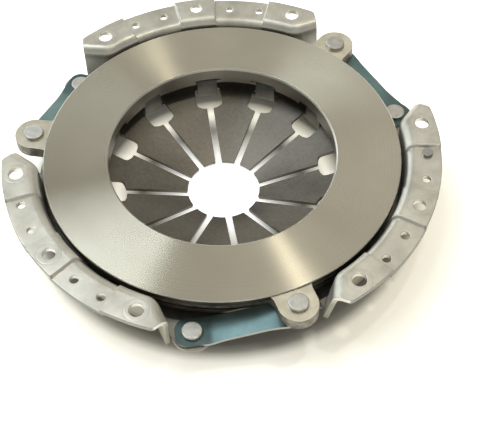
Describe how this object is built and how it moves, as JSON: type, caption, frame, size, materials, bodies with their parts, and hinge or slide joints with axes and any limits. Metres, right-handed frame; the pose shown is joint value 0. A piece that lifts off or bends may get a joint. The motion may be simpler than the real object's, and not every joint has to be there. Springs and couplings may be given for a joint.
{
  "type": "clutch pressure plate",
  "caption": "Diaphragm-spring clutch pressure plate: stamped cover with raised bolt flanges, a ground friction ring hung on drive straps, and a fingered spring that clamps the disc.",
  "frame": {"origin": "centre of the bolt circle on the flange's mounting face, the plane that meets the flywheel", "axes": "+Z along the clutch axis out of the cover, towards the flywheel; +Y through the middle of one flange island"},
  "size_m": [0.2736, 0.267, 0.0433],
  "materials": {
    "cover_steel": "satin, as stamped",
    "plate_iron": "ground face, as-cast flanks",
    "spring_steel": "dark satin",
    "wire_steel": "satin",
    "strap_steel": "blue-green satin coating",
    "rivet_steel": "satin"
  },
  "bodies": {
    "cover": {"clutch_cover": "cover_steel", "diaphragm_spring": "spring_steel", "upper_fulcrum_ring": "wire_steel", "lower_fulcrum_ring": "wire_steel", "drive_strap_1_leaf_1": "strap_steel", "drive_strap_1_leaf_2": "strap_steel", "drive_strap_1_leaf_3": "strap_steel", "drive_strap_2_leaf_1": "strap_steel", "drive_strap_2_leaf_2": "strap_steel", "drive_strap_2_leaf_3": "strap_steel", "drive_strap_3_leaf_1": "strap_steel", "drive_strap_3_leaf_2": "strap_steel", "drive_strap_3_leaf_3": "strap_steel", "strap_rivet_1": "rivet_steel", "strap_rivet_2": "rivet_steel", "strap_rivet_3": "rivet_steel", "balance_rivet": "rivet_steel"},
    "plate": {"pressure_plate": "plate_iron", "lug_rivet_1": "rivet_steel", "lug_rivet_2": "rivet_steel", "lug_rivet_3": "rivet_steel"}
  },
  "joints": [
    {"name": "plate_travel", "type": "slide", "parent": "cover", "child": "plate", "axis": [0, 0, -1], "range_m": [0, 0.0057], "stiffness_N_per_m": 200000, "deforming": ["diaphragm_spring", "drive_strap_1_leaf_1", "drive_strap_1_leaf_2", "drive_strap_1_leaf_3", "drive_strap_2_leaf_1", "drive_strap_2_leaf_2", "drive_strap_2_leaf_3", "drive_strap_3_leaf_1", "drive_strap_3_leaf_2", "drive_strap_3_leaf_3"]}
  ]
}
